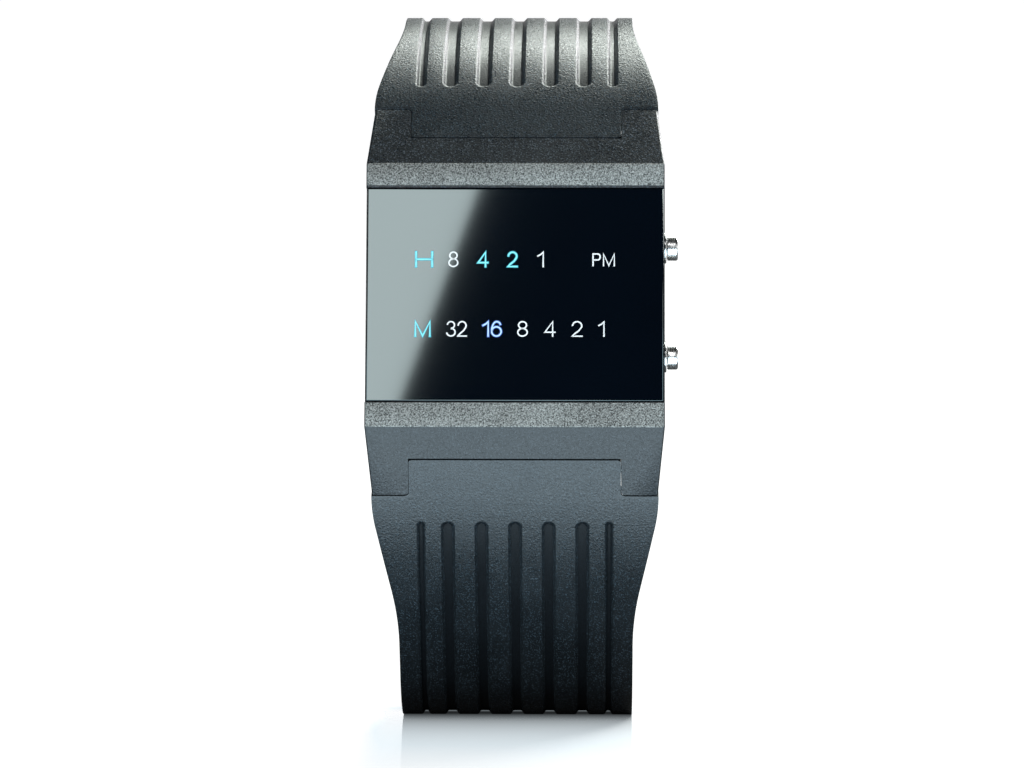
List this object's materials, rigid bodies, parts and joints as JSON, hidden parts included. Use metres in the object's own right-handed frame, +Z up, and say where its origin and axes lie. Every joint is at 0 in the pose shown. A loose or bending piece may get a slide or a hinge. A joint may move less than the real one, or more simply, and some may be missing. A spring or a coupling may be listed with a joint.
{
  "type": "binary wristwatch",
  "caption": "Binary wristwatch: flat dark glass in a case with sloping links, ribbed strap halves on spring bars, pin buckle, keepers and side buttons.",
  "frame": {"origin": "on the floor under the middle of the standing watch's bounding box", "axes": "+X across the dial to the button side, -Y out of the dial, +Z up towards 12 o'clock; the dial leans back 14 degrees"},
  "size_m": [0.0376, 0.1032, 0.087],
  "materials": {
    "case_plastic": "fine spark-eroded grain",
    "mirror_glass": "gloss",
    "black_tape": "matte",
    "legend_film": "satin",
    "mask_plastic": "matte",
    "light_chip": "gloss",
    "circuit_board": "satin",
    "chip_plastic": "matte",
    "cell_can": "satin",
    "brushed_steel": "satin",
    "polished_steel": "polished",
    "bright_steel": "satin",
    "gasket_rubber": "matte",
    "strap_rubber": "fine matte grain"
  },
  "bodies": {
    "case": {"case_body": "case_plastic", "mirror_glass": "mirror_glass", "case_back": "brushed_steel", "back_screws": "bright_steel", "glass_tape": "black_tape", "legend_film": "legend_film", "display_mask": "mask_plastic", "light_chips": "light_chip", "circuit_board": "circuit_board", "control_chip": "chip_plastic", "clock_crystal": "bright_steel", "chip_resistors": "chip_plastic", "movement_frame": "mask_plastic", "board_screws": "bright_steel", "cell_contact": "bright_steel", "cell_clip": "bright_steel", "rear_cell": "cell_can", "front_cell": "cell_can", "back_gasket": "gasket_rubber", "upper_button_bush": "polished_steel", "lower_button_bush": "polished_steel", "upper_button_spring": "bright_steel", "lower_button_spring": "bright_steel", "upper_switch_leaf": "bright_steel", "lower_switch_leaf": "bright_steel", "upper_bar_tube": "bright_steel", "upper_bar_tips": "bright_steel", "lower_bar_tube": "bright_steel", "lower_bar_tips": "bright_steel"},
    "upper_button": {"upper_button": "polished_steel", "upper_button_seal": "gasket_rubber", "upper_button_clip": "bright_steel"},
    "lower_button": {"lower_button": "polished_steel", "lower_button_seal": "gasket_rubber", "lower_button_clip": "bright_steel"},
    "upper_strap": {"upper_strap": "strap_rubber", "fixed_keeper": "strap_rubber"},
    "lower_strap": {"lower_strap": "strap_rubber"},
    "free_keeper": {"free_keeper": "strap_rubber"},
    "buckle": {"buckle_frame": "brushed_steel", "buckle_bar_tube": "bright_steel", "buckle_bar_tips": "bright_steel"},
    "buckle_tongue": {"buckle_tongue": "brushed_steel"}
  },
  "joints": [
    {"name": "upper_strap_swing", "type": "hinge", "parent": "case", "child": "upper_strap", "pos_m": [-0.00082, -0.03752, 0.07267], "axis": [-1, 0, 0], "range_deg": [-3, 12]},
    {"name": "lower_strap_swing", "type": "hinge", "parent": "lower_strap", "child": "case", "pos_m": [-0.00082, -0.04741, 0.03303], "axis": [-1, 0, 0], "range_deg": [-3, 12]},
    {"name": "upper_button_press", "type": "slide", "parent": "case", "child": "upper_button", "axis": [-1, 0, 0], "range_m": [0, 0.0006], "stiffness_N_per_m": 1200, "springref_m": -0.0004, "deforming": ["upper_button_spring"]},
    {"name": "lower_button_press", "type": "slide", "parent": "case", "child": "lower_button", "axis": [-1, 0, 0], "range_m": [0, 0.0006], "stiffness_N_per_m": 1200, "springref_m": -0.0004, "deforming": ["lower_button_spring"]},
    {"name": "buckle_swing", "type": "hinge", "parent": "upper_strap", "child": "buckle", "pos_m": [-0.00082, 0.01982, 0.04562], "axis": [1, 0, 0], "range_deg": [-60, 40]},
    {"name": "buckle_tongue_swing", "type": "hinge", "parent": "buckle", "child": "buckle_tongue", "pos_m": [-0.00082, 0.01982, 0.04562], "axis": [1, 0, 0], "range_deg": [0, 90]},
    {"name": "free_keeper_slide", "type": "slide", "parent": "upper_strap", "child": "free_keeper", "axis": [0, -0.3502, 0.9367], "range_m": [0, 0.008]}
  ]
}
